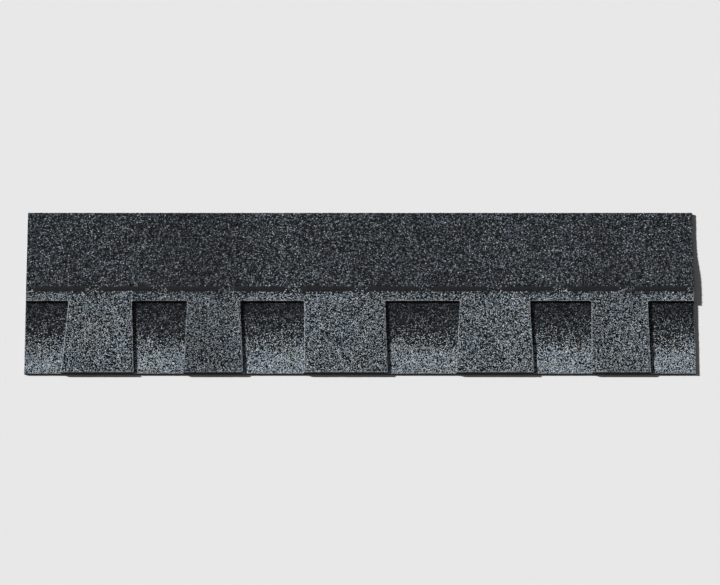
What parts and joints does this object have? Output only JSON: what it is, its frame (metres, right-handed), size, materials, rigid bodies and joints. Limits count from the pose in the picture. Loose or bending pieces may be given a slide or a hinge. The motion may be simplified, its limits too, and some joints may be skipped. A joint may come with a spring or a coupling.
{
  "type": "laminated asphalt shingle",
  "caption": "Laminated roofing shingle: a toothed granule sheet bonded over a backing strip, with a broken sealant line on its face and a release tape on its back.",
  "frame": {"origin": "centre of the shingle's outline, on the surface that it lies on", "axes": "+X along the shingle, +Y from the butt edge to the head edge, +Z out of the weather face"},
  "size_m": [1, 0.337, 0.0065],
  "materials": {
    "granule_top": "charcoal-grey mineral granules pressed into asphalt, matt and coarse",
    "granule_strip": "mineral granules in a dark shadow band that fades to light grey towards the butt edge",
    "laminating_asphalt": "black modified asphalt, satin",
    "sealant": "black heat-activated asphalt sealant, glossy",
    "release_film": "thin clear polyester film, glossy"
  },
  "bodies": {
    "root": {"top_sheet": "granule_top", "backing_strip": "granule_strip", "laminating_adhesive": "laminating_asphalt", "seal_strip": "sealant", "release_tape": "release_film"}
  },
  "joints": []
}
